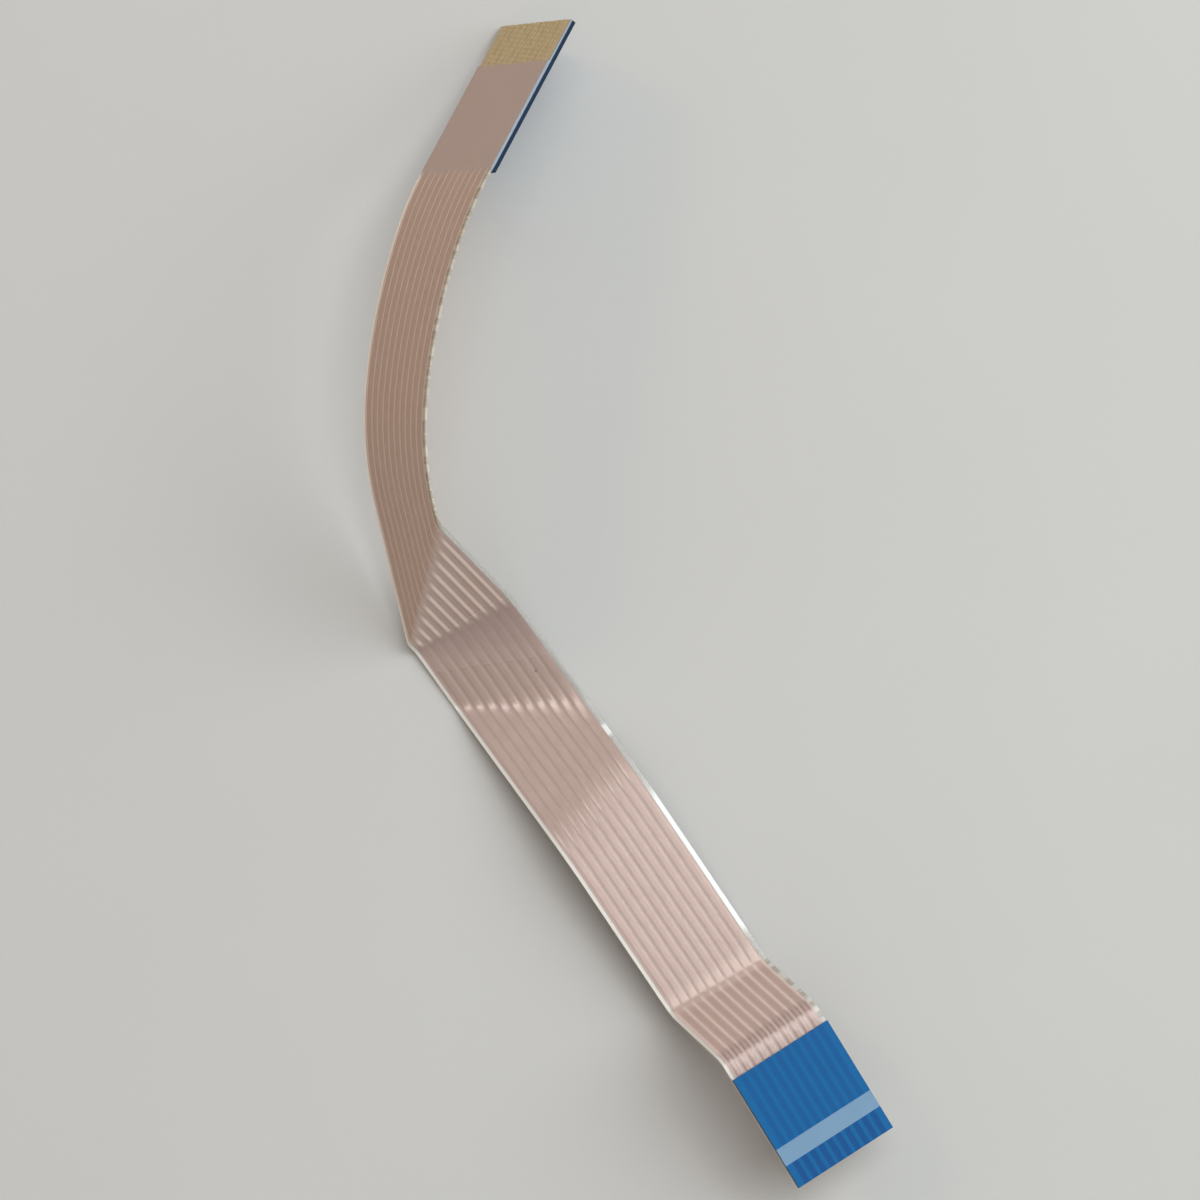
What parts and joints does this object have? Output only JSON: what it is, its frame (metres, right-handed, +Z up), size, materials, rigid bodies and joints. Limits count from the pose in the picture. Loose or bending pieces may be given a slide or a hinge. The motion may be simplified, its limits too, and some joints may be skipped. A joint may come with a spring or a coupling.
{
  "type": "flat flex cable",
  "caption": "Creased flat flex cable with clear ribbed films over copper conductors and a blue stiffener on opposite faces at its two ends.",
  "frame": {"origin": "centre of the bounding box at its lowest plane, the table that the cable lies on", "axes": "+Z up from the table; +Y along the cable's length as it lies, from the marked end towards the plain end; +X to the right of that"},
  "size_m": [0.0222, 0.0584, 0.0077],
  "materials": {
    "film": "clear, slightly milky polyester film",
    "stiffener": "translucent blue polyester sheet",
    "ink": "pale blue printed line",
    "conductor": "flat bare copper, gold plated where it is bare at the ends"
  },
  "bodies": {
    "root": {"film_upper": "film", "film_lower": "film", "stiffener_marked_end": "stiffener", "stiffener_plain_end": "stiffener", "insertion_line": "ink", "conductor_01": "conductor", "conductor_02": "conductor", "conductor_03": "conductor", "conductor_04": "conductor", "conductor_05": "conductor", "conductor_06": "conductor", "conductor_07": "conductor", "conductor_08": "conductor", "conductor_09": "conductor", "conductor_10": "conductor"}
  },
  "joints": []
}
